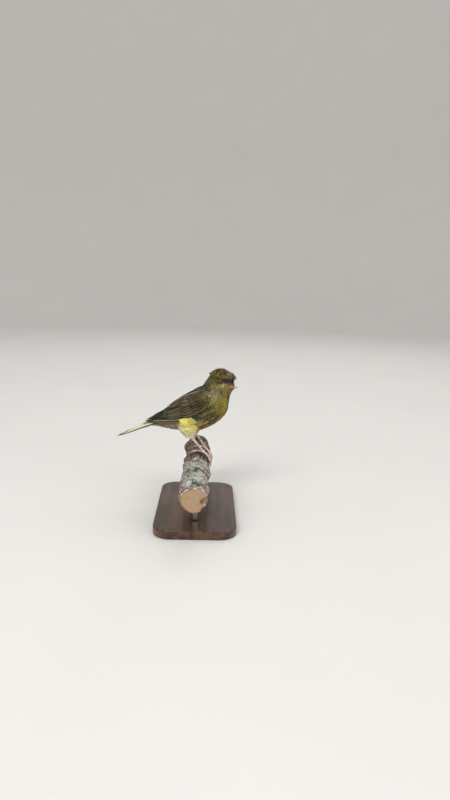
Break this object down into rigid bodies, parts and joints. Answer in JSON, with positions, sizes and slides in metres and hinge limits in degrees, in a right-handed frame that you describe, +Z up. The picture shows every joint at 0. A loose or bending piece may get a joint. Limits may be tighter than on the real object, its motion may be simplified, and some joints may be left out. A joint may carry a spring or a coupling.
{
  "type": "crested canary on a perch, still model",
  "caption": "Life-size still model of a crested green and yellow canary, gripping a short knotty perch on a plain stand.",
  "frame": {"origin": "centre of the stand's underside, on the surface that it stands on", "axes": "+Z up, +X the way the bird faces, +Y towards the bird's left, along the perch"},
  "size_m": [0.1179, 0.171, 0.1355],
  "materials": {
    "crest_plumage": "soft feather, dark olive brown with blackish tips",
    "body_plumage": "soft feather, olive green and yellow with dark shaft streaks",
    "wing_plumage": "firm feather, blackish brown with narrow pale yellow and olive edges",
    "tail_plumage": "firm feather, pale cream yellow, dusky at the root",
    "thigh_plumage": "down, bright yellow to cream",
    "bill_horn": "satin horn, pinkish with a small dark tip",
    "eye": "wet gloss, nearly black",
    "leg_skin": "scaled skin, pink",
    "claw_horn": "satin horn, greyish pink",
    "bark": "rough knotty bark, purple brown to grey green, with sawn ends",
    "stand_wood": "satin dark walnut",
    "stand_metal": "brushed steel"
  },
  "bodies": {
    "root": {"head": "crest_plumage", "neck": "body_plumage", "torso": "body_plumage", "wing_right": "wing_plumage", "wing_left": "wing_plumage", "tail": "tail_plumage", "thigh_right": "thigh_plumage", "thigh_left": "thigh_plumage", "bill_upper": "bill_horn", "bill_lower": "bill_horn", "eye_right": "eye", "eye_left": "eye", "leg_right": "leg_skin", "leg_left": "leg_skin", "foot_right": "leg_skin", "foot_left": "leg_skin", "claw_right_inner": "claw_horn", "claw_right_middle": "claw_horn", "claw_right_outer": "claw_horn", "claw_right_hind": "claw_horn", "claw_left_inner": "claw_horn", "claw_left_middle": "claw_horn", "claw_left_outer": "claw_horn", "claw_left_hind": "claw_horn", "perch": "bark", "stand_base": "stand_wood", "stand_rod_near": "stand_metal", "stand_rod_far": "stand_metal"}
  },
  "joints": []
}
